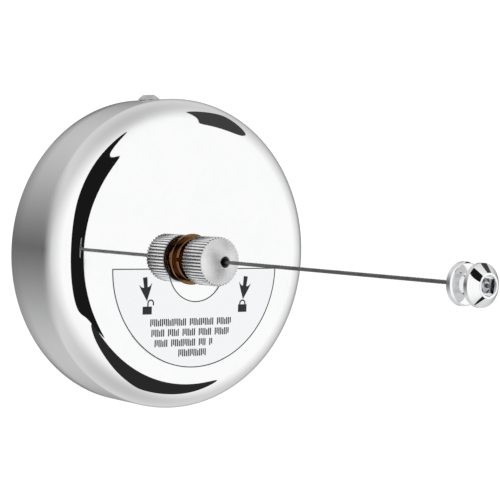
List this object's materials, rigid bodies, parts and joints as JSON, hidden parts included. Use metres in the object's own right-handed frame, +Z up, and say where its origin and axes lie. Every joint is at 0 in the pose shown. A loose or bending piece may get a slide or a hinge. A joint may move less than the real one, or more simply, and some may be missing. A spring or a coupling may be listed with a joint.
{
  "type": "retractable clothesline",
  "caption": "Round wall-mounted reel with a polished cover, a knurled lock knob at its centre and a spring-retracted steel line ending in a turned spool.",
  "frame": {"origin": "centre of the wall plate's back face, on the wall", "axes": "+Z up, -Y out of the wall along the line, +Y into the wall, +X to the right seen from the front"},
  "size_m": [0.076, 0.1206, 0.0773],
  "materials": {
    "plate_steel": "pressed, satin",
    "cover_chrome": "polished face, satin side wall",
    "screw_chrome": "polished",
    "frame_plastic": "moulded, fine texture",
    "sheet_steel": "zinc plated",
    "screw_steel": "zinc plated",
    "pin_steel": "ground",
    "arbor_plastic": "moulded",
    "spring_steel": "blued strip",
    "drum_plastic": "moulded acetal",
    "brass": "turned",
    "line_steel": "stranded wire",
    "ceramic": "glazed",
    "roller_plastic": "moulded acetal",
    "collet_bronze": "turned",
    "sleeve_plastic": "moulded",
    "knob_chrome": "polished",
    "grommet_plastic": "moulded",
    "end_knob_chrome": "polished",
    "label_foil": "polished foil",
    "label_ink": "printed"
  },
  "bodies": {
    "housing": {"wall_plate": "plate_steel", "housing_cover": "cover_chrome", "retaining_screw": "screw_chrome", "reel_frame": "frame_plastic", "reel_back_cover": "sheet_steel", "frame_screws": "screw_steel", "spindle": "pin_steel", "spindle_clip": "sheet_steel", "spring_arbor": "arbor_plastic", "power_spring": "spring_steel", "line_eyelet": "ceramic", "line_run": "line_steel", "roller_axle": "pin_steel", "lock_bush": "brass", "bush_washer": "brass", "bush_nut": "brass", "collet": "collet_bronze", "line_outer": "line_steel", "instruction_label": "label_foil", "label_print": "label_ink"},
    "reel": {"reel_drum": "drum_plastic", "drum_bearing": "brass", "spring_lid": "sheet_steel", "line_winding": "line_steel", "line_anchor": "brass"},
    "roller": {"guide_roller": "roller_plastic"},
    "clamp": {"clamp_sleeve": "sleeve_plastic"},
    "lock_knob": {"knob_shell": "knob_chrome", "knob_core": "brass", "line_grommet": "grommet_plastic"},
    "line_end": {"line_crimp": "end_knob_chrome"},
    "spool": {"end_knob": "end_knob_chrome"}
  },
  "joints": [
    {"name": "line_pull", "type": "slide", "parent": "housing", "child": "line_end", "axis": [0, -1, 0], "range_m": [-0.0765, 2.7], "deforming": ["line_outer"]},
    {"name": "spool_spin", "type": "hinge", "parent": "line_end", "child": "spool", "pos_m": [0, -0.1168, -0.001], "axis": [0, -1, 0], "continuous": true},
    {"name": "reel_turn", "type": "hinge", "parent": "housing", "child": "reel", "pos_m": [0, -0.0065, 0], "axis": [0, 1, 0], "range_deg": [-198, 6940], "deforming": ["power_spring"]},
    {"name": "roller_turn", "type": "hinge", "parent": "housing", "child": "roller", "pos_m": [0, -0.0146, 0.002], "axis": [-1, 0, 0], "range_deg": [-1465, 51600]},
    {"name": "clamp_travel", "type": "slide", "parent": "housing", "child": "clamp", "axis": [0, 1, 0], "range_m": [-0.00084, 0]},
    {"name": "knob_turn", "type": "hinge", "parent": "clamp", "child": "lock_knob", "pos_m": [0, -0.03, -0.001], "axis": [0, 1, 0], "range_deg": [-300, 0]}
  ],
  "couplings": [
    {"joint": "reel_turn", "follows": "line_pull", "rad_per_m": 44.843},
    {"joint": "roller_turn", "follows": "line_pull", "rad_per_m": 333.33},
    {"joint": "clamp_travel", "follows": "knob_turn", "m_per_rad": 0.00015915}
  ]
}
